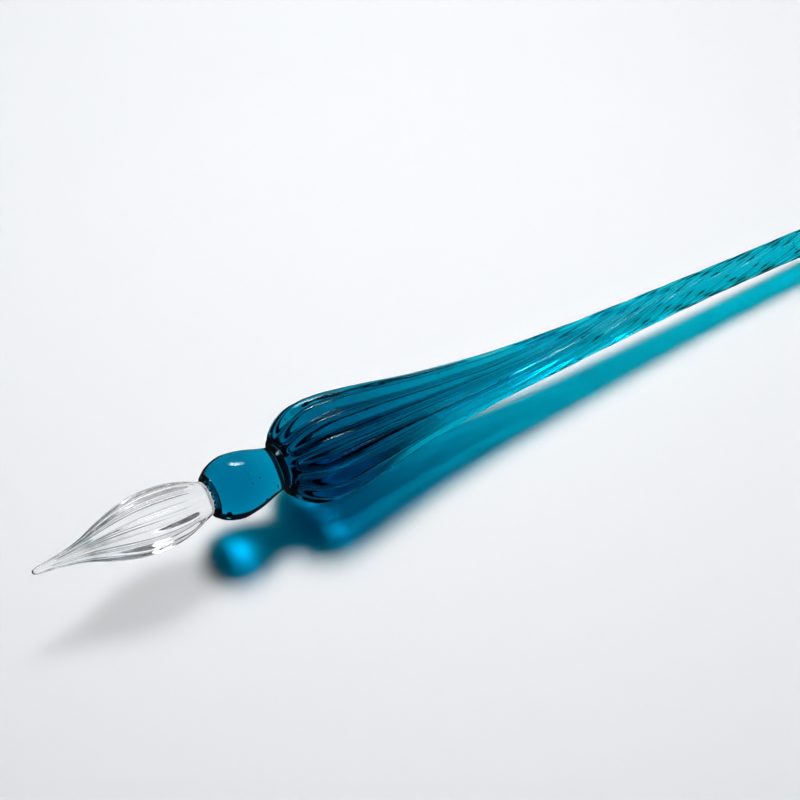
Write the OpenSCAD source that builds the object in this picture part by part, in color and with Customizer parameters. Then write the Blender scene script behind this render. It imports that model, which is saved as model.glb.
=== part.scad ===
// Glass dip pen, worked in the lamp from solid glass and lying on a table.
// A clear fluted nib is welded to a plain turquoise bulb, and the bulb to a ribbed
// turquoise body whose ribs run straight over the grip and twist along the shaft.
// The pen is drawn along +X from the nib's tip, then laid down on z = 0.

/* [Pen] */
// Length from the nib's tip to the end of the shaft
pen_len = 176; // [165:1:190]

/* [Nib] */
// Length of the nib, from its tip to the weld
nib_len = 28; // [24:0.5:32]
// Widest diameter of the nib
nib_d = 9; // [7.5:0.1:10]
// Number of ink grooves
nib_flutes = 12; // [8:1:16]
// Depth of a groove, as a share of the nib's radius
nib_groove = 0.12; // [0.05:0.01:0.2]
// Turn of the grooves from root to tip, in degrees
nib_turn = 14; // [0:1:40]
// Diameter of the ground ball at the tip
tip_d = 0.8; // [0.5:0.1:1.2]
// Diameter of the nib's root, where it is welded on
root_d = 4.8; // [4.4:0.1:5.2]

/* [Weld collar] */
// How far the ring of glass around the weld laps over the nib
collar_lap = 0.25; // [0.2:0.05:0.5]
// How far the ring's lip stands out from the root
collar_lip = 0.2; // [0.15:0.05:0.4]

/* [Neck bulb] */
// Length of the bulb between the nib and the waist
bulb_len = 11.7; // [10:0.1:14]
// Widest diameter of the bulb
bulb_d = 9.5; // [8.8:0.1:10.4]
// Diameter of the waist behind the bulb
waist_d = 6.4; // [5.8:0.1:7]

/* [Body] */
// Widest diameter of the grip, over its ribs
grip_d = 15.4; // [14:0.1:17]
// Diameter of the shaft's thin end, over its ribs
shaft_d = 3.9; // [3.6:0.1:4.5]
// Number of ribs
ribs = 14; // [10:1:16]
// Depth of the valley between two ribs, as a share of the radius
rib_depth = 0.14; // [0.05:0.01:0.16]
// Place where the ribs begin to twist, from the tip
twist_start = 68; // [60:1:90]
// Length over which the twist grows to its full rate
twist_ramp = 42; // [20:1:60]
// Length of shaft for one full turn of the ribs
twist_pitch = 92; // [50:1:120]
// How far the hand-drawn shaft wanders sideways from a straight line
wander = 0.4; // [0:0.05:0.8]

/* [Hidden] */

rib_points = 4;                 // points around each rib or groove
shoulder_rings = 9;             // cross-sections on the grip's round shoulder
taper_rings = 52;               // cross-sections along the taper and the shaft
nib_rings = 24;                 // cross-sections along the nib
dome_rings = 4;                 // cross-sections on a round end
bulb_steps = 28;                // steps along the bulb's outline
turned_facets = 96;             // facets of a turned surface, rebuilt as a true one
shoulder_len = 7.1;             // from the waist to the grip's widest place
shoulder_fullness = 0.68;       // power of the shoulder's curve: 0.5 is a quarter ellipse
crease = 0.12;                  // share of the shoulder that the crease behind the bulb takes
rib_start = 0.25;               // share of the shoulder over which the ribs rise to full depth
fading = 0.5;                   // share of their depth that the ribs lose along the shaft
fading_from = 85;               // the ribs grow shallower from here, from the tip
fading_len = 40;                // over this length
wander_from = 50;               // the shaft's wander starts here, from the tip
wander_len = 68;                // and it comes back to the straight line over this length

waist_x = nib_len + bulb_len;
grip_x = waist_x + shoulder_len;
nib_r = nib_d / 2;
tip_r = tip_d / 2;
root_r = root_d / 2;
bulb_r = bulb_d / 2;
waist_r = waist_d / 2;
grip_r = grip_d / 2;
shaft_r = shaft_d / 2;
shaft_end_x = pen_len - shaft_r;

// Outlines as [share of the length, share of the widest radius]
nib_outline = [
    [0, tip_r / nib_r], [0.18, 0.235], [0.29, 0.39], [0.395, 0.63], [0.5, 0.84],
    [0.6, 0.965], [0.7, 1], [0.82, 0.925], [0.9, 0.785], [0.955, 0.64], [1, root_r / nib_r]
];
bulb_outline = [
    [0.043, 0.685], [0.13, 0.84], [0.25, 0.955], [0.37, 1], [0.6, 0.922],
    [0.8, 0.775], [0.93, 0.69], [1, waist_r / bulb_r]
];
taper_outline = [
    [0, 1], [0.022, 0.974], [0.071, 0.845], [0.12, 0.697], [0.157, 0.612], [0.194, 0.539],
    [0.231, 0.478], [0.294, 0.409], [0.358, 0.361], [0.421, 0.323], [0.49, 0.29], [0.56, 0.268],
    [0.65, 0.26], [1, shaft_r / grip_r]
];

// Smooth curve through an outline's points
function span_of(outline, t, i = 0) =
    i >= len(outline) - 2 || t < outline[i + 1][0] ? i : span_of(outline, t, i + 1);
function slope_at(outline, i) =
    let (a = outline[max(i - 1, 0)], b = outline[min(i + 1, len(outline) - 1)])
    (b[1] - a[1]) / (b[0] - a[0]);
function share_at(outline, t) =
    let (
        i = span_of(outline, t),
        width = outline[i + 1][0] - outline[i][0],
        s = (t - outline[i][0]) / width,
        rise = (3 - 2 * s) * s * s
    )
    outline[i][1] * (1 - rise) + outline[i + 1][1] * rise
        + width * s * (1 - s) * ((1 - s) * slope_at(outline, i) - s * slope_at(outline, i + 1));

function clamp(t) = min(max(t, 0), 1);
function ease(t) = (3 - 2 * clamp(t)) * clamp(t) * clamp(t);

// A round end: [x, radius] of each cross-section, from the pole to the full radius
function dome(pole_x, r, way) = [
    for (i = [0 : dome_rings])
        let (angle = 8 + 82 * i / dome_rings)
        [pole_x + way * r * (1 - cos(angle)), r * sin(angle)]
];
function reversed(list) = [for (i = [len(list) - 1 : -1 : 0]) list[i]];

// Nib: radius, groove depth and turn at x
function nib_radius(x) = nib_r * share_at(nib_outline, x / nib_len);
function nib_depth(x) =
    nib_groove * ease((x - tip_r) / 5) * ease((nib_len - 1 - x) / 4);
function nib_angle(x) = -nib_turn * ease(1 - x / nib_len);

// Body: radius, rib depth and turn at x
function shoulder_radius(x) =
    let (t = clamp((x - waist_x) / shoulder_len))
    waist_r + (grip_r - waist_r) * pow(1 - (1 - t) * (1 - t), shoulder_fullness) * ease(t / crease);
function body_radius(x) =
    x < grip_x ? shoulder_radius(x)
        : grip_r * share_at(taper_outline, (x - grip_x) / (pen_len - grip_x));
function body_depth(x) =
    rib_depth * ease((x - waist_x) / (rib_start * shoulder_len))
        * (1 - fading * ease((x - fading_from) / fading_len)) * ease((pen_len - x) / 6);
function body_angle(x) =
    let (t = clamp((x - twist_start) / twist_ramp), past = max(x - twist_start - twist_ramp, 0))
    -360 / twist_pitch * (twist_ramp * (t * t * t - t * t * t * t / 2) + past);

// How far the pen's middle line lies to one side at x
function side(x) = -wander * pow(sin(180 * clamp((x - wander_from) / wander_len)), 2);

// One cross-section: round crests with narrower valleys between them
function section(x, r, depth, turn, count) = [
    for (i = [0 : count * rib_points - 1])
        let (
            angle = 360 * (i / rib_points + 0.5) / count,
            crest = abs(cos(count * (angle - 180 / count) / 2)),
            rr = r * (1 - depth * (1 - crest))
        )
        [x, side(x) + rr * sin(angle + turn), -rr * cos(angle + turn)]
];

// A closed skin over cross-sections that have the same number of points
module skin(sections) {
    n = len(sections[0]);
    m = len(sections);
    polyhedron(
        points = [for (ring = sections) each ring],
        faces = [
            [for (i = [0 : n - 1]) n - 1 - i],
            for (k = [0 : m - 2], i = [0 : n - 1])
                let (a = k * n + i, b = k * n + (i + 1) % n)
                each [[a, b, b + n], [a, b + n, a + n]],
            [for (i = [0 : n - 1]) (m - 1) * n + i]
        ],
        convexity = 10
    );
}

// Lays the pen on the table, on two ribs under the grip and on the end of the shaft
rest_r = grip_r * cos(180 / ribs);
tilt = asin((rest_r - shaft_r) / (shaft_end_x - grip_x));
low_x = tip_r * (cos(tilt) - 1);
high_x = shaft_end_x * cos(tilt) + shaft_r;
module lie() {
    translate([-(low_x + high_x) / 2, 0, shaft_r + shaft_end_x * sin(tilt)])
        rotate([0, tilt, 0])
            children();
}

module turned() {
    rotate([0, 90, 0]) rotate_extrude($fn = turned_facets) children();
}

module nib() {
    body_stations = [
        for (i = [1 : nib_rings])
            let (x = tip_r + (nib_len - tip_r) * i / nib_rings) [x, nib_radius(x)]
    ];
    stations = concat(dome(0, tip_r, 1), body_stations);
    color([0.93, 0.95, 0.96, 0.6]) lie() skin([
        for (s = stations)
            section(s[0], s[1], nib_depth(s[0]), nib_angle(s[0]), nib_flutes)
    ]);
}

module weld_collar() {
    front_x = nib_len - collar_lap;
    back_x = nib_len + bulb_len * bulb_outline[0][0];
    color([0, 0.25, 0.33]) lie() turned() polygon([
        [root_r, front_x], [root_r + collar_lip, front_x],
        [root_r + collar_lip / 2, nib_len],
        [bulb_r * bulb_outline[0][1], back_x], [root_r, back_x]
    ]);
}

module neck_bulb() {
    front_x = nib_len + bulb_len * bulb_outline[0][0];
    outline = [
        for (i = [0 : bulb_steps])
            let (x = front_x + (waist_x - front_x) * i / bulb_steps)
            [bulb_r * share_at(bulb_outline, (x - nib_len) / bulb_len), x]
    ];
    color([0, 0.45, 0.6]) lie() turned() polygon(concat(
        [[0, nib_len], [root_r, nib_len], [root_r, front_x]], outline, [[0, waist_x]]
    ));
}

module body() {
    shoulder = [
        for (i = [0 : shoulder_rings])
            let (x = waist_x + shoulder_len * (1 - cos(90 * i / shoulder_rings)))
            [x, shoulder_radius(x)]
    ];
    taper = [
        for (i = [1 : taper_rings])
            let (x = grip_x + (shaft_end_x - grip_x) * i / taper_rings) [x, body_radius(x)]
    ];
    end = reversed(dome(pen_len, shaft_r, -1));
    stations = concat(shoulder, taper, [for (i = [1 : dome_rings]) end[i]]);
    color([0, 0.38, 0.52]) lie() skin([
        for (s = stations) section(s[0], s[1], body_depth(s[0]), body_angle(s[0]), ribs)
    ]);
}

nib();
weld_collar();
neck_bulb();
body();
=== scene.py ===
"""A glass dip pen lying on a pale table: a clear fluted nib, a plain turquoise bulb, and a
ribbed turquoise body that tapers into a twisted shaft. All of it is solid glass, welded hot."""

import math

import bpy
from mathutils import Matrix, Vector


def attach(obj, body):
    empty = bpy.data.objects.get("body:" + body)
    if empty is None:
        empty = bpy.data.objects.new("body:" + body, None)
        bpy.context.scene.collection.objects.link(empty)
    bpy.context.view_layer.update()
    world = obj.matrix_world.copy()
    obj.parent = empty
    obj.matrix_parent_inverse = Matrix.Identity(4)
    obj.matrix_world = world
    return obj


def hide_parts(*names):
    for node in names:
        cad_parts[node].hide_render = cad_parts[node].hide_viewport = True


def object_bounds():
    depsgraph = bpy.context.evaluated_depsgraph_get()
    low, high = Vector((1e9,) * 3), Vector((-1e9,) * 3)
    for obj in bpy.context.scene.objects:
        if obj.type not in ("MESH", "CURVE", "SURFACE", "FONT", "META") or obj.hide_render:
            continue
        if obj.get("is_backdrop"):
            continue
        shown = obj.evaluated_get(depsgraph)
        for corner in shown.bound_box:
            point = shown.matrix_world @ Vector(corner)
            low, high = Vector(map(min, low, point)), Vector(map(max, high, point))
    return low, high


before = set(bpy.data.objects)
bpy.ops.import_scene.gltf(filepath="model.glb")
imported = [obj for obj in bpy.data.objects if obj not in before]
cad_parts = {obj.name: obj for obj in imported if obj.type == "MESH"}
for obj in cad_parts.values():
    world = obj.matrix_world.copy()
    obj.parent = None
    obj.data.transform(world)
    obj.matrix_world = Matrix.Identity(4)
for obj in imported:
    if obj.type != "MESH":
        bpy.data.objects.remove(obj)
cad_low, cad_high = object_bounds()

# ---------------------------------------------------------------------------------------------
# The nib: a clear glass rod pressed in a fluted mould, drawn to a point while hot and ground to
# a tiny ball. Its grooves hold the ink. Its root is welded to the bulb and stays a little milky.
MM = 0.001
pen_length = 176 * MM
nib_length = 28 * MM
nib_radius = 4.5 * MM
tip_radius = 0.4 * MM
root_radius = 2.4 * MM
collar_lap = 0.25 * MM
grip_radius = 7.7 * MM
grip_place = 46.8 * MM
shaft_radius = 1.95 * MM
ribs = 14
weld_gap = 0.01 * MM

rest_radius = grip_radius * math.cos(math.pi / ribs)
shaft_end = pen_length - shaft_radius
tilt = math.asin((rest_radius - shaft_radius) / (shaft_end - grip_place))
lie_down = (
    Matrix.Translation((cad_low.x, 0, shaft_radius + shaft_end * math.sin(tilt)))
    @ Matrix.Rotation(tilt, 4, "Y")
)


def ease(t):
    """Rises smoothly from 0 to 1 as t does."""
    t = min(max(t, 0.0), 1.0)
    return t * t * (3 - 2 * t)


def along(outline, t):
    """Radius at t of the smooth curve through an outline's points (place, radius)."""
    last = len(outline) - 2
    i = next((k for k in range(last) if t < outline[k + 1][0]), last)

    def slope(k):
        a, b = outline[max(k - 1, 0)], outline[min(k + 1, last + 1)]
        return (b[1] - a[1]) / (b[0] - a[0])

    width = outline[i + 1][0] - outline[i][0]
    s = (t - outline[i][0]) / width
    rise = s * s * (3 - 2 * s)
    bend = width * s * (1 - s) * ((1 - s) * slope(i) - s * slope(i + 1))
    return outline[i][1] * (1 - rise) + outline[i + 1][1] * rise + bend


def round_end(pole, radius, way, steps=14):
    """Points (place, radius) of a round end, from its pole outwards."""
    angles = [math.pi / 2 * i / steps for i in range(steps + 1)]
    return [(pole + way * radius * (1 - math.cos(a)), radius * math.sin(a)) for a in angles]


def new_tree(name, inputs):
    """A Geometry Nodes tree that changes a piece, with its named inputs (name, kind, value)."""
    tree = bpy.data.node_groups.new(name, "GeometryNodeTree")
    tree.is_modifier = True
    tree.interface.new_socket("Geometry", in_out="INPUT", socket_type="NodeSocketGeometry")
    for label, kind, value in inputs:
        item = tree.interface.new_socket(label, in_out="INPUT", socket_type="NodeSocket" + kind)
        if value is not None:
            item.default_value = value
    tree.interface.new_socket("Geometry", in_out="OUTPUT", socket_type="NodeSocketGeometry")
    return tree


def node_maker(tree):
    """A function that adds a node to a tree, feeds its inputs by name or number, and returns it."""

    def add(kind, feed=(), **settings):
        node = tree.nodes.new(kind)
        for setting, value in settings.items():
            setattr(node, setting, value)
        for place, value in dict(feed).items():
            if isinstance(value, bpy.types.NodeSocket):
                tree.links.new(value, node.inputs[place])
            else:
                node.inputs[place].default_value = value
        return node

    return add


def maths_maker(add):
    """A function that adds a maths node and returns its result."""

    def maths(operation, *values):
        return add("ShaderNodeMath", enumerate(values), operation=operation).outputs[0]

    return maths


def fluted_tree():
    """Spins an outline into a fluted solid. Each point of the outline is one ring: its radius
    attribute is the depth of the grooves there, and its tilt is how far they have turned. A depth
    below zero marks a ring of a fused face. The strand attribute follows the grooves' turn."""
    tree = new_tree("fluted_glass", [
        ("Grooves", "Int", 12), ("Faces Per Groove", "Int", 16), ("Valley Softness", "Float", 0.2),
        ("Groove Unevenness", "Float", 0.0), ("Skin Unevenness", "Float", 0.0),
        ("Unevenness Length", "Float", 12 * MM), ("Edge Ripple", "Float", 0.0),
        ("Seed", "Float", 0.0), ("Glass", "Material", None),
    ])
    add = node_maker(tree)
    maths = maths_maker(add)
    given = add("NodeGroupInput").outputs

    size = add("GeometryNodeAttributeDomainSize", {0: given["Geometry"]}, component="CURVE")
    rings = size.outputs["Point Count"]
    around = maths("MULTIPLY", given["Grooves"], given["Faces Per Groove"])
    grid = add("GeometryNodeMeshGrid", {
        "Size X": 1.0, "Size Y": 1.0, "Vertices X": rings, "Vertices Y": maths("ADD", around, 1.0),
    })
    spot = add("GeometryNodeInputPosition").outputs[0]
    flat = add("ShaderNodeSeparateXYZ", {0: spot}).outputs
    share = maths("ADD", flat["X"], 0.5)
    ring = maths("ROUND", maths("MULTIPLY", share, maths("SUBTRACT", rings, 1.0)))
    turn = maths("MULTIPLY", maths("ADD", flat["Y"], 0.5), 2 * math.pi)

    def of_ring(kind, value):
        feed = {"Geometry": given["Geometry"], "Value": value, "Index": ring}
        return add("GeometryNodeSampleIndex", feed, data_type=kind, domain="POINT").outputs["Value"]

    outline = add("ShaderNodeSeparateXYZ", {0: of_ring("FLOAT_VECTOR", spot)}).outputs
    marked_depth = of_ring("FLOAT", add("GeometryNodeInputRadius").outputs[0])
    twist = of_ring("FLOAT", add("GeometryNodeInputCurveTilt").outputs[0])
    depth = maths("MAXIMUM", marked_depth, 0.0)
    fused = maths("LESS_THAN", marked_depth, 0.0)

    wave = maths("SINE", maths("MULTIPLY", maths("MULTIPLY", turn, given["Grooves"]), 0.5))
    soft = given["Valley Softness"]
    soft_square = maths("MULTIPLY", soft, soft)
    bow = maths("SQRT", maths("ADD", maths("MULTIPLY", wave, wave), soft_square))
    full = maths("SUBTRACT", maths("SQRT", maths("ADD", soft_square, 1.0)), soft)
    crest = maths("DIVIDE", maths("SUBTRACT", bow, soft), full)

    change_around = 1.8
    noise_place = add("ShaderNodeCombineXYZ", {
        "X": maths("DIVIDE", outline["X"], given["Unevenness Length"]),
        "Y": maths("MULTIPLY", maths("SINE", turn), change_around),
        "Z": maths("MULTIPLY", maths("COSINE", turn), change_around),
    }).outputs[0]

    def uneven(shift):
        seed = maths("ADD", given["Seed"], shift)
        feed = {"Vector": noise_place, "W": seed, "Scale": 1.0, "Detail": 2.0}
        noise = add("ShaderNodeTexNoise", feed, noise_dimensions="4D").outputs[0]
        return maths("MULTIPLY", maths("SUBTRACT", noise, 0.5), 2.0)

    groove_change = maths("ADD", maths("MULTIPLY", uneven(0.0), given["Groove Unevenness"]), 1.0)
    sink = maths("MULTIPLY", maths("MULTIPLY", depth, groove_change), maths("SUBTRACT", 1.0, crest))
    swell = maths("MULTIPLY", uneven(7.0), given["Skin Unevenness"])
    swell = maths("MULTIPLY", swell, maths("GREATER_THAN", depth, 0.0))
    shape = maths("ADD", maths("SUBTRACT", 1.0, sink), swell)
    radius = maths("MULTIPLY", outline["Z"], shape)
    angle = maths("ADD", turn, twist)
    ripple = maths("MULTIPLY", maths("MULTIPLY", given["Edge Ripple"], sink), maths("SIGN", depth))
    place = add("ShaderNodeCombineXYZ", {
        "X": maths("ADD", outline["X"], ripple),
        "Y": maths("ADD", maths("MULTIPLY", radius, maths("SINE", angle)), outline["Y"]),
        "Z": maths("MULTIPLY", maths("MULTIPLY", radius, maths("COSINE", angle)), -1.0),
    }).outputs[0]

    flagged = add(
        "GeometryNodeStoreNamedAttribute",
        {"Geometry": grid.outputs["Mesh"], "Name": "fused_ring", "Value": fused},
        data_type="FLOAT", domain="POINT",
    )
    strand = add("ShaderNodeCombineXYZ", {
        "X": outline["X"], "Y": maths("SINE", turn), "Z": maths("COSINE", turn),
    }).outputs[0]
    stranded = add(
        "GeometryNodeStoreNamedAttribute",
        {"Geometry": flagged.outputs[0], "Name": "strand", "Value": strand},
        data_type="FLOAT_VECTOR", domain="POINT",
    )
    moved = add("GeometryNodeSetPosition", {"Geometry": stranded.outputs[0], "Position": place})
    outward = add("GeometryNodeFlipFaces", {0: moved.outputs[0]})
    closed = add("GeometryNodeMergeByDistance", {"Geometry": outward.outputs[0], "Distance": 1e-7})
    ring_flag = add("GeometryNodeInputNamedAttribute", {"Name": "fused_ring"}, data_type="FLOAT")
    weld = maths("GREATER_THAN", ring_flag.outputs["Attribute"], 0.99)
    welded = add(
        "GeometryNodeStoreNamedAttribute",
        {"Geometry": closed.outputs[0], "Name": "weld", "Value": weld},
        data_type="FLOAT", domain="FACE",
    )
    smooth = add("GeometryNodeSetShadeSmooth", {
        "Geometry": welded.outputs[0], "Shade Smooth": maths("SUBTRACT", 1.0, weld),
    })
    real = add("GeometryNodeRealizeInstances", {"Geometry": smooth.outputs[0]})
    glass = add("GeometryNodeSetMaterial", {
        "Geometry": real.outputs[0], "Material": given["Glass"],
    })
    add("NodeGroupOutput", {"Geometry": glass.outputs[0]})
    return tree


def seed_tree():
    """Scatters seed bubbles, small voids drawn out along the pen, a little way under the skin."""
    tree = new_tree("seed_bubbles", [
        ("Seeds Per Square Metre", "Float", 9000.0), ("Seed", "Int", 1),
        ("Smallest", "Float", 0.08 * MM), ("Largest", "Float", 0.2 * MM),
        ("Shallowest", "Float", 0.6 * MM), ("Deepest", "Float", 1.5 * MM),
        ("Stretch", "Float", 1.0), ("Glass", "Material", None),
    ])
    add = node_maker(tree)
    maths = maths_maker(add)
    given = add("NodeGroupInput").outputs
    weld = add("GeometryNodeInputNamedAttribute", {"Name": "weld"}, data_type="FLOAT")
    skin = maths("LESS_THAN", weld.outputs["Attribute"], 0.5)
    spread = add("GeometryNodeDistributePointsOnFaces", {
        "Mesh": given["Geometry"], "Selection": skin,
        "Density": given["Seeds Per Square Metre"], "Seed": given["Seed"],
    })

    def between(low, high, shift):
        feed = {2: given[low], 3: given[high], "Seed": maths("ADD", given["Seed"], shift)}
        return add("FunctionNodeRandomValue", feed, data_type="FLOAT").outputs[1]

    sunk = maths("MULTIPLY", between("Shallowest", "Deepest", 11), -1.0)
    skin_way = spread.outputs["Normal"]
    inward = add("ShaderNodeVectorMath", {0: skin_way, "Scale": sunk}, operation="SCALE")
    under = add("GeometryNodeSetPosition", {
        "Geometry": spread.outputs["Points"], "Offset": inward.outputs[0],
    })
    width = between("Smallest", "Largest", 23)
    drawn_out = add("ShaderNodeCombineXYZ", {
        "X": maths("MULTIPLY", width, given["Stretch"]), "Y": width, "Z": width,
    })
    ball = add("GeometryNodeMeshIcoSphere", {"Radius": 1.0, "Subdivisions": 3})
    placed = add("GeometryNodeInstanceOnPoints", {
        "Points": under.outputs[0], "Instance": ball.outputs["Mesh"], "Scale": drawn_out.outputs[0],
    })
    real = add("GeometryNodeRealizeInstances", {"Geometry": placed.outputs[0]})
    smooth = add("GeometryNodeSetShadeSmooth", {"Geometry": real.outputs[0]})
    inside_out = add("GeometryNodeFlipFaces", {0: smooth.outputs[0]})
    joined = add("GeometryNodeJoinGeometry")
    tree.links.new(inside_out.outputs[0], joined.inputs[0])
    tree.links.new(given["Geometry"], joined.inputs[0])
    glass = add("GeometryNodeSetMaterial", {
        "Geometry": joined.outputs[0], "Material": given["Glass"],
    })
    add("NodeGroupOutput", {"Geometry": glass.outputs[0]})
    return tree


fluted_glass = fluted_tree()
seed_bubbles = seed_tree()


def add_modifier(piece, tree, values):
    """Puts a tree on a piece, and sets its named inputs by their sockets' identifiers."""
    modifier = piece.modifiers.new(tree.name, "NODES")
    modifier.node_group = tree
    for item in tree.interface.items_tree:
        if item.in_out == "INPUT" and item.name in values:
            modifier[item.identifier] = values[item.name]


wander_reach = 0.4 * MM
wander_start = 50 * MM
wander_length = 68 * MM


def wander(place):
    """How far the hand-drawn shaft wanders sideways from a straight line."""
    share = min(max((place - wander_start) / wander_length, 0.0), 1.0)
    return -wander_reach * math.sin(math.pi * share) ** 2


def glass_piece(name, rings, glass, values, seeds=None):
    """A glass piece from its rings (place, radius, groove depth, turn), laid on the table."""
    line = bpy.data.curves.new(name + "_outline", "CURVE")
    line.dimensions = "3D"
    spline = line.splines.new("POLY")
    spline.points.add(len(rings) - 1)
    for point, (place, radius, depth, turn) in zip(spline.points, rings):
        point.co = (place, wander(place), radius, 1)
        point.radius = depth
        point.tilt = turn
    drawn = bpy.data.objects.new(name + "_outline", line)
    bpy.context.scene.collection.objects.link(drawn)
    add_modifier(drawn, fluted_glass, {**values, "Glass": glass})
    if seeds:
        add_modifier(drawn, seed_bubbles, {**seeds, "Glass": glass})
    view = bpy.context.evaluated_depsgraph_get()
    mesh = bpy.data.meshes.new_from_object(drawn.evaluated_get(view), depsgraph=view)
    mesh.name = name
    mesh.transform(lie_down)
    bpy.data.objects.remove(drawn)
    piece = bpy.data.objects.new(name, mesh)
    bpy.context.scene.collection.objects.link(piece)
    return piece


def worked_skin():
    """The skin of glass worked in a flame, for every glass here: long shallow waves, a haze that
    begins at one place along the pen, faint cords of denser glass that follow its grooves, and
    a band of painted shade round the pen at one place, which darkens a crease. Places are
    measured from the nib's tip."""
    cord_tint = (0.5, 0.62, 0.65, 1)
    # Near-black colour of the band of painted shade.
    painted_shade_tint = (0, 0.001, 0.002, 1)
    drawn_out = (0.35, 1, 1)
    cord_fineness = (60, 5, 5)
    cord_threshold = 0.45
    mottle_scale = 1.4 / MM
    group = bpy.data.node_groups.new("worked_skin", "ShaderNodeTree")
    for label, value in [
        ("Wave Length", 3 * MM), ("Wave Height", 0.01 * MM), ("Haze Place", 1.0),
        ("Haze Fade", 2 * MM), ("Haze", 0.0), ("Polish", 0.0), ("Cords", 0.0),
        ("Cord Height", 0.0), ("Painted Shade Place", 0.0), ("Painted Shade Width", 1 * MM),
        ("Painted Shade Fade", 0.2 * MM), ("Painted Shade Tone", 0.0),
    ]:
        item = group.interface.new_socket(label, in_out="INPUT", socket_type="NodeSocketFloat")
        item.default_value = value
    group.interface.new_socket("Normal", in_out="OUTPUT", socket_type="NodeSocketVector")
    group.interface.new_socket("Roughness", in_out="OUTPUT", socket_type="NodeSocketFloat")
    group.interface.new_socket("Tint", in_out="OUTPUT", socket_type="NodeSocketColor")
    add = node_maker(group)
    maths = maths_maker(add)
    given = add("NodeGroupInput").outputs
    spot = add("ShaderNodeTexCoord").outputs["Object"]
    tip = lie_down.to_translation()
    pen_way = lie_down.to_3x3() @ Vector((1, 0, 0))
    from_tip = add("ShaderNodeVectorMath", {0: spot, 1: tip}, operation="SUBTRACT").outputs[0]
    along_pen = add("ShaderNodeVectorMath", {0: from_tip, 1: pen_way}, operation="DOT_PRODUCT")
    place = along_pen.outputs["Value"]
    drawn = add("ShaderNodeVectorMath", {0: spot, 1: drawn_out}, operation="MULTIPLY").outputs[0]

    scale = maths("DIVIDE", 1.0, given["Wave Length"])
    waves = add("ShaderNodeTexNoise", {"Vector": drawn, "Scale": scale, "Detail": 2.0})
    waved = add("ShaderNodeBump", {
        "Height": waves.outputs[0], "Distance": given["Wave Height"], "Strength": 1.0,
    })
    strand = add("ShaderNodeAttribute", attribute_name="strand").outputs["Vector"]
    fine = add("ShaderNodeVectorMath", {0: strand, 1: cord_fineness}, operation="MULTIPLY")
    cords = add("ShaderNodeTexNoise", {
        "Vector": fine.outputs[0], "Scale": 1.0, "Detail": 2.0,
    }).outputs[0]
    corded = add("ShaderNodeBump", {
        "Height": cords, "Distance": given["Cord Height"], "Strength": 1.0,
        "Normal": waved.outputs[0],
    })

    hazy = add("ShaderNodeMapRange", {
        "Value": place, "From Min": given["Haze Place"],
        "From Max": maths("ADD", given["Haze Place"], given["Haze Fade"]),
    }, interpolation_type="SMOOTHSTEP").outputs["Result"]
    mottle = add("ShaderNodeTexNoise", {
        "Vector": spot, "Scale": mottle_scale, "Detail": 3.0,
    }).outputs[0]
    haze = maths("MULTIPLY", maths("MULTIPLY", hazy, given["Haze"]), maths("ADD", mottle, 0.5))

    denser = maths("SMOOTH_MAX", maths("SUBTRACT", cords, cord_threshold), 0.0, 0.1)
    share = maths("MULTIPLY", denser, given["Cords"])
    tint = add("ShaderNodeMix", {0: share, 6: (1, 1, 1, 1), 7: cord_tint}, data_type="RGBA")

    # Painted shade: a band round the pen whose colour is darkened to near black. It fades at its
    # edges and is left off the fused faces.
    edge = maths("MULTIPLY", given["Painted Shade Width"], 0.5)
    painted_shade_band = add("ShaderNodeMapRange", {
        "Value": maths("ABSOLUTE", maths("SUBTRACT", place, given["Painted Shade Place"])),
        "From Min": edge, "From Max": maths("ADD", edge, given["Painted Shade Fade"]),
        "To Min": given["Painted Shade Tone"], "To Max": 0.0,
    }, interpolation_type="SMOOTHSTEP").outputs["Result"]
    weld = add("ShaderNodeAttribute", attribute_name="weld").outputs["Fac"]
    painted_shade_mask = maths("MULTIPLY", painted_shade_band, maths("SUBTRACT", 1.0, weld))
    shaded_tint = add("ShaderNodeMix", {0: painted_shade_mask, 6: tint.outputs[2], 7: painted_shade_tint}, data_type="RGBA")
    add("NodeGroupOutput", {
        "Normal": corded.outputs[0], "Roughness": maths("ADD", haze, given["Polish"]),
        "Tint": shaded_tint.outputs[2],
    })
    return group


skin_of_glass = worked_skin()


def worked_glass(name, skin, lamp_share, shine, loss=None):
    """Solid hand-worked glass. Light that crosses it loses colour with depth (loss per mm), and
    where two pieces are fused it goes straight on. lamp_share is how much of the lamps' light
    crosses each skin unbent, beside the light that is bent into bright patches."""
    material = bpy.data.materials.new(name)
    material.use_nodes = True
    tree = material.node_tree
    tree.nodes.clear()
    add = node_maker(tree)
    surface = add("ShaderNodeGroup", node_tree=skin_of_glass)
    for label, value in skin.items():
        surface.inputs[label].default_value = value
    weld = add("ShaderNodeAttribute", attribute_name="weld").outputs["Fac"]
    bend = add("ShaderNodeMapRange", {"Value": weld, "To Min": 1.5, "To Max": 1.0001})
    glass = add("ShaderNodeBsdfPrincipled", {
        "Base Color": surface.outputs["Tint"], "Roughness": surface.outputs["Roughness"],
        "Normal": surface.outputs["Normal"], "IOR": bend.outputs["Result"],
        "Transmission Weight": 1.0, "Specular Tint": (*shine, 1),
    })
    unbent = (lamp_share, lamp_share, lamp_share, 1)
    open_glass = add("ShaderNodeBsdfTransparent", {"Color": unbent})
    path = add("ShaderNodeLightPath")
    both = add("ShaderNodeMixShader", {
        0: path.outputs["Is Shadow Ray"], 1: glass.outputs[0], 2: open_glass.outputs[0],
    })
    out = add("ShaderNodeOutputMaterial", {"Surface": both.outputs[0]})
    if loss:
        densest = max(loss)
        depth = add("ShaderNodeVolumeAbsorption", {
            "Color": (*[1 - part / densest for part in loss], 1), "Density": densest / MM,
        })
        tree.links.new(depth.outputs[0], out.inputs["Volume"])
    return material


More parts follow.
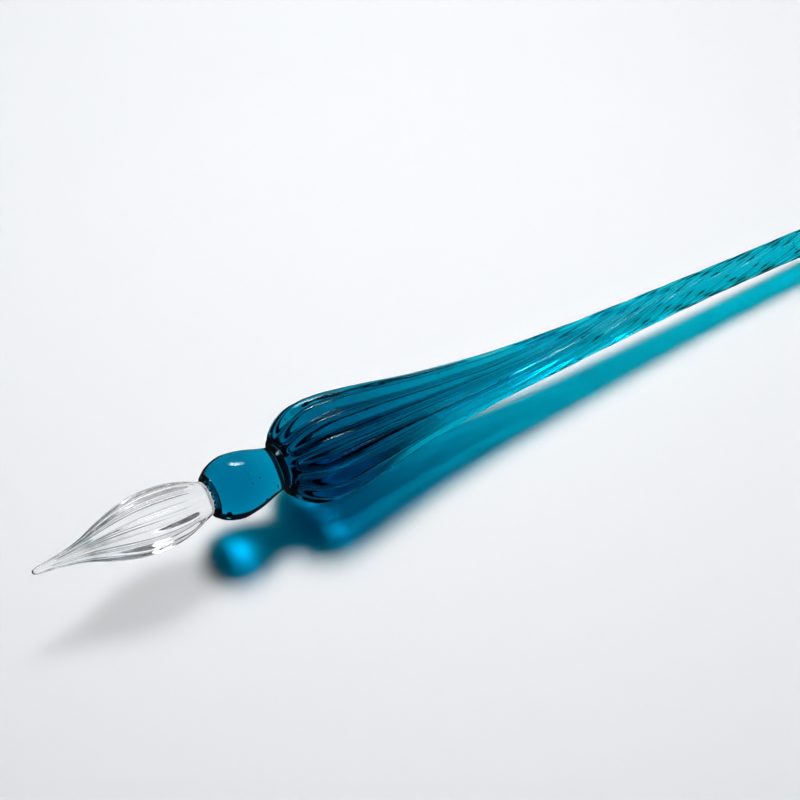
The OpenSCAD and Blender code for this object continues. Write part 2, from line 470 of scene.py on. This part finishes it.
nib_skin = {
    "Wave Length": 2.2 * MM, "Wave Height": 0.012 * MM, "Haze": 0.3,
    "Haze Place": nib_length - 1.6 * MM, "Haze Fade": 1.4 * MM, "Polish": 0.04, "Cords": 0.9,
    "Cord Height": 0.02 * MM,
}
clear_glass = worked_glass("clear_glass", nib_skin, 0.45, (0.14, 0.14, 0.14))

nib_outline = [
    (0, 0.09), (0.18, 0.235), (0.29, 0.39), (0.395, 0.63), (0.5, 0.84), (0.6, 0.965),
    (0.7, 1), (0.82, 0.925), (0.9, 0.785), (0.955, 0.64), (1, root_radius / nib_radius),
]
nib_grooves = 12
groove_depth = 0.12
groove_turn = math.radians(14)
nib_steps = 150


def groove_at(place):
    """Depth of the ink grooves: none on the ball or on the root."""
    past_ball = ease((place - tip_radius) / (5 * MM))
    before_root = ease((nib_length - 1 * MM - place) / (3 * MM))
    return groove_depth * past_ball * before_root


weld_face = nib_length - weld_gap
lap_start = nib_length - collar_lap
nib_rings = round_end(0, tip_radius, 1)
for i in range(1, nib_steps + 1):
    place = tip_radius + (lap_start - tip_radius) * i / nib_steps
    nib_rings.append((place, nib_radius * along(nib_outline, place / nib_length)))
nib_rings = [
    (place, radius, groove_at(place), -groove_turn * ease(1 - place / nib_length))
    for place, radius in nib_rings
]
lap_radius = root_radius - weld_gap
nib_rings += [(lap_start, lap_radius, -1, 0), (weld_face, lap_radius, -1, 0), (weld_face, 0, -1, 0)]
nib_shape = {
    "Grooves": nib_grooves, "Faces Per Groove": 20, "Valley Softness": 0.4,
    "Groove Unevenness": 0.35, "Skin Unevenness": 0.004, "Unevenness Length": 9 * MM, "Seed": 3.0,
}
nib = glass_piece("nib_glass", nib_rings, clear_glass, nib_shape)
nib.visible_diffuse = False
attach(nib, "root")
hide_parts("nib")

# ---------------------------------------------------------------------------------------------
# The neck bulb: a plain ball of turquoise glass, gathered at the end of the body and left to
# round itself in the flame, with a few seed bubbles. It is one weld away from the nib's root.
bulb_loss = (2.2, 0.18, 0.11)
turquoise_shine = (0.14, 0.2, 0.18)
bulb_skin = {"Wave Length": 5 * MM, "Wave Height": 0.02 * MM, "Cords": 0.25}
bulb_length = 11.7 * MM
bulb_radius = 4.75 * MM
waist_radius = 3.2 * MM
waist_place = nib_length + bulb_length
# Painted shade: a near-black band painted into the colour of the bulb and the body, round the
# waist's crease.
waist_painted_shade = {
    "Painted Shade Place": waist_place - 0.45 * MM, "Painted Shade Width": 0.7 * MM, "Painted Shade Fade": 0.15 * MM,
    "Painted Shade Tone": 1.0,
}
bulb_glass = worked_glass(
    "turquoise_bulb_glass", {**bulb_skin, **waist_painted_shade}, 0.8, turquoise_shine, bulb_loss
)
bulb_outline = [
    (0.043, 0.685), (0.13, 0.84), (0.25, 0.955), (0.37, 1), (0.6, 0.922), (0.8, 0.775),
    (0.93, 0.69), (1, waist_radius / bulb_radius),
]
bulb_steps = 120
bulb_front = nib_length + bulb_length * bulb_outline[0][0]
bulb_back = waist_place - weld_gap
front_radius = bulb_radius * bulb_outline[0][1]
bulb_rings = [
    (nib_length, 0, -1, 0), (nib_length, lap_radius, -1, 0), (bulb_front, lap_radius, -1, 0),
    (bulb_front, front_radius, -1, 0),
]
for i in range(1, bulb_steps + 1):
    place = bulb_front + (bulb_back - bulb_front) * i / bulb_steps
    radius = bulb_radius * along(bulb_outline, (place - nib_length) / bulb_length)
    bulb_rings.append((place, radius, 1e-6, 0))
bulb_rings += [(bulb_back, waist_radius, -1, 0), (bulb_back, 0, -1, 0)]
bulb_shape = {
    "Grooves": 12, "Faces Per Groove": 12, "Valley Softness": 0.25, "Skin Unevenness": 0.012,
    "Unevenness Length": 9 * MM, "Seed": 5.0,
}
bulb_seeds = {
    "Seeds Per Square Metre": 26000.0, "Seed": 4, "Smallest": 0.09 * MM, "Largest": 0.19 * MM,
    "Shallowest": 0.8 * MM, "Deepest": 3 * MM, "Stretch": 1.0,
}
bulb = glass_piece("neck_bulb_glass", bulb_rings, bulb_glass, bulb_shape, bulb_seeds)
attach(bulb, "root")
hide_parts("neck_bulb")

# ---------------------------------------------------------------------------------------------
# The weld collar: a thin lip of the bulb's turquoise glass that laps over the nib's root where the
# two were melted together. It is dense and dark, and its edge runs in and out over the grooves.
collar_end = bulb_front - weld_gap
inner_edge = (lap_start + 0.02 * MM, root_radius, -1, 0)
# Points of the lip: how far behind the lap's edge and how high over the root, both in mm, and
# how deep the edge's waves are there.
lip_outline = [
    (0, 0.04, 0.02), (-0.04, 0.14, 0.035), (0, 0.2, 0.04), (0.06, 0.2, 0.04),
    (0.16, 0.13, 0.03), (0.3, 0.13, 0.02), (0.45, 0.26, 0.012), (0.6, 0.52, 0.006),
]
collar_rings = [inner_edge]
for behind, height, waves in lip_outline:
    collar_rings.append((lap_start + behind * MM, root_radius + height * MM, waves, 0))
collar_rings += [
    (collar_end, front_radius, 1e-6, 0), (collar_end, front_radius, -1, 0),
    (collar_end, root_radius, -1, 0), inner_edge,
]
collar_shape = {
    "Grooves": nib_grooves, "Faces Per Groove": 12, "Valley Softness": 0.6,
    "Groove Unevenness": 0.9, "Skin Unevenness": 0.01, "Unevenness Length": 2 * MM,
    "Edge Ripple": 5 * MM, "Seed": 9.0,
}
collar_loss = (20, 6, 5)
collar_glass = worked_glass(
    "turquoise_weld_glass", bulb_skin, 0.78, turquoise_shine, collar_loss
)
collar = glass_piece("weld_collar_glass", collar_rings, collar_glass, collar_shape)
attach(collar, "root")
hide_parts("weld_collar")

# ---------------------------------------------------------------------------------------------
# The body: one gather of turquoise glass, pressed in a ribbed mould for the grip, then drawn out
# and twisted for the shaft. Its end is rounded in the flame. The grip's seeds are drawn long.
body_skin = {
    "Wave Length": 6 * MM, "Wave Height": 0.01 * MM, "Cords": 0.8, "Cord Height": 0.03 * MM,
}
body_loss = (2.2, 0.186, 0.125)
body_shine = (0.1, 0.16, 0.145)
body_glass = worked_glass(
    "turquoise_body_glass", {**body_skin, **waist_painted_shade}, 0.98, body_shine, body_loss
)
shoulder_length = grip_place - waist_place
shoulder_fullness = 0.68
crease = 0.12
taper_outline = [
    (0, 1), (0.022, 0.974), (0.071, 0.845), (0.12, 0.697), (0.157, 0.612), (0.194, 0.539),
    (0.231, 0.478), (0.294, 0.409), (0.358, 0.361), (0.421, 0.323), (0.49, 0.29), (0.56, 0.268),
    (0.65, 0.26), (1, shaft_radius / grip_radius),
]
rib_depth = 0.14
rib_rise = 0.25 * shoulder_length
twist_start = 68 * MM
twist_ramp = 42 * MM
twist_pitch = 92 * MM
shaft_fading = 0.5
fading_start = 85 * MM
fading_length = 40 * MM
shoulder_steps = 60
taper_steps = 280


def rib_turn(place):
    """How far the ribs have turned: none on the grip, then more and more along the shaft."""
    t = min(max((place - twist_start) / twist_ramp, 0.0), 1.0)
    past = max(place - twist_start - twist_ramp, 0.0)
    return -2 * math.pi / twist_pitch * (twist_ramp * (t**3 - t**4 / 2) + past)


def rib_at(place):
    """Depth of the valleys between ribs: none at the waist or on the shaft's round end."""
    start = ease((place - waist_place) / rib_rise)
    drawn_thin = 1 - shaft_fading * ease((place - fading_start) / fading_length)
    return 1e-6 + rib_depth * start * drawn_thin * ease((pen_length - place) / (6 * MM))


body_rings = []
for i in range(shoulder_steps + 1):
    t = 1 - math.cos(math.pi / 2 * i / shoulder_steps)
    swell = max(0.0, 1 - (1 - t) ** 2) ** shoulder_fullness * ease(t / crease)
    radius = waist_radius + (grip_radius - waist_radius) * swell
    body_rings.append((waist_place + shoulder_length * t, radius))
for i in range(1, taper_steps + 1):
    place = grip_place + (shaft_end - grip_place) * i / taper_steps
    share = (place - grip_place) / (pen_length - grip_place)
    body_rings.append((place, grip_radius * along(taper_outline, share)))
body_rings += list(reversed(round_end(pen_length, shaft_radius, -1)))[1:]
body_rings = [(place, radius, rib_at(place), rib_turn(place)) for place, radius in body_rings]
body_rings = [(waist_place, 0, -1, 0), (waist_place, waist_radius, -1, 0)] + body_rings
body_shape = {
    "Grooves": ribs, "Faces Per Groove": 16, "Valley Softness": 0.14, "Groove Unevenness": 0.45,
    "Skin Unevenness": 0.008, "Unevenness Length": 14 * MM, "Seed": 1.0,
}
body_seeds = {
    "Seeds Per Square Metre": 9000.0, "Seed": 2, "Smallest": 0.07 * MM, "Largest": 0.16 * MM,
    "Shallowest": 0.6 * MM, "Deepest": 1.4 * MM, "Stretch": 1.6,
}
body = glass_piece("body_glass", body_rings, body_glass, body_shape, body_seeds)
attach(body, "root")
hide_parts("body")

# ---------------------------------------------------------------------------------------------
# The table: a wide sheet of matt white paper, which the pen lies on. Far from the pen, where the
# softbox doesn't reach, the sheet has a faint light of its own, so that it stays pale all round.
half = 3.0
glow_start = 0.13
glow_full = 0.44
glow_strength = 0.72
lamp_white = (0.965, 0.98, 1.0)
sheet = bpy.data.meshes.new("table")
corners = [(-half, -half, 0), (half, -half, 0), (half, half, 0), (-half, half, 0)]
sheet.from_pydata(corners, [], [(0, 1, 2, 3)])
table = bpy.data.objects.new("table", sheet)
bpy.context.scene.collection.objects.link(table)
paper = bpy.data.materials.new("paper")
paper.use_nodes = True
matt = paper.node_tree.nodes["Principled BSDF"]
matt.inputs["Base Color"].default_value = (0.9, 0.9, 0.905, 1)
matt.inputs["Roughness"].default_value = 0.9
matt.inputs["Specular IOR Level"].default_value = 0.2
matt.inputs["Emission Color"].default_value = (*lamp_white, 1)
paper_node = node_maker(paper.node_tree)
paper_spot = paper_node("ShaderNodeTexCoord").outputs["Object"]
reach = paper_node("ShaderNodeVectorMath", {0: paper_spot}, operation="LENGTH").outputs["Value"]
far_glow = paper_node("ShaderNodeMapRange", {
    "Value": reach, "From Min": glow_start, "From Max": glow_full, "To Max": glow_strength,
}, interpolation_type="SMOOTHSTEP")
paper.node_tree.links.new(far_glow.outputs["Result"], matt.inputs["Emission Strength"])
paper.cycles.emission_sampling = "NONE"
sheet.materials.append(paper)
table.visible_glossy = False
table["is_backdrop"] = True

# ---------------------------------------------------------------------------------------------
# The camera: it stands to one side of the nib and looks down on the nib and the grip, with the
# shaft running away to the right.
view_height = math.radians(45.53)
view_turn = math.radians(33.03)
view_distance = 0.5594
target = Vector((-0.02229, 0.0082, 0))
back = Vector((
    -math.cos(view_height) * math.sin(view_turn),
    -math.cos(view_height) * math.cos(view_turn),
    math.sin(view_height),
))
camera = bpy.data.objects.new("camera", bpy.data.cameras.new("camera"))
camera.data.angle = math.radians(12)
camera.location = target + view_distance * back
camera.rotation_euler = back.to_track_quat("Z", "Y").to_euler()
bpy.context.scene.collection.objects.link(camera)
bpy.context.scene.camera = camera

# ---------------------------------------------------------------------------------------------
# The light: a softbox behind the pen in two layers, of which one isn't bent by the glass, so that
# the bright patches in the shadow stay soft; its wide spill; soft cards that only shine in the
# glass; and a dim room.
to_light = Vector((0.265, 0.529, 0.806)).normalized()
light_distance = 0.8445
softbox_side = 0.3


def area_light(name, shape, size, energy, place, aim):
    """An area light at a place, turned to face its aim."""
    lamp = bpy.data.objects.new(name, bpy.data.lights.new(name, "AREA"))
    lamp.data.shape = shape
    lamp.data.size = size
    lamp.data.energy = energy
    lamp.location = place
    lamp.rotation_euler = (place - aim).to_track_quat("Z", "Y").to_euler()
    bpy.context.scene.collection.objects.link(lamp)
    return lamp


over = target + light_distance * to_light
pool = target + Vector((0.008, -0.005, 0))
for name, energy, bent in [("softbox", 0.34, True), ("softbox_plain", 0.23, False)]:
    place = over if bent else over - 0.01 * to_light
    softbox = area_light(name, "SQUARE", softbox_side, energy, place, pool)
    softbox.data.spread = math.radians(39.7)
    softbox.data.color = lamp_white
    softbox.visible_glossy = False
    softbox.visible_transmission = bent
spill = area_light("spill", "SQUARE", softbox_side, 0.48, over, target)
spill.data.color = lamp_white
spill.visible_glossy = False
for name, wide, high, energy in [
    ("card_core", 0.3, 0.1, 4.5), ("card_middle", 0.42, 0.2, 6.0), ("card_edge", 0.56, 0.3, 5.0),
]:
    card = area_light(name, "ELLIPSE", wide, energy, over + Vector((0.06, 0, 0)), target)
    card.data.size_y = high
    card.visible_diffuse = False
    card.visible_transmission = False

room = bpy.data.worlds.new("room")
room.use_nodes = True
room.node_tree.nodes.clear()
room_node = node_maker(room.node_tree)
ray = room_node("ShaderNodeLightPath").outputs
shine = room_node("ShaderNodeMapRange", {
    "Value": ray["Is Glossy Ray"], "To Min": 0.2, "To Max": 0.02,
})
seen = room_node("ShaderNodeMix", {0: ray["Is Camera Ray"], 2: shine.outputs[0], 3: 0.85})
glow = room_node("ShaderNodeBackground", {
    "Color": (0.95, 0.975, 1, 1), "Strength": seen.outputs[0],
})
room_node("ShaderNodeOutputWorld", {"Surface": glow.outputs[0]})

scene = bpy.context.scene
scene.world = room
room.cycles_visibility.diffuse = False
scene.view_settings.view_transform = "Standard"
scene.cycles.caustics_refractive = True
scene.cycles.caustics_reflective = False
scene.cycles.max_bounces = 32
scene.cycles.transmission_bounces = 32
scene.cycles.transparent_max_bounces = 32
scene.cycles.glossy_bounces = 16
scene.cycles.diffuse_bounces = 4
scene.cycles.volume_bounces = 0
scene.cycles.blur_glossy = 0.0

low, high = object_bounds()
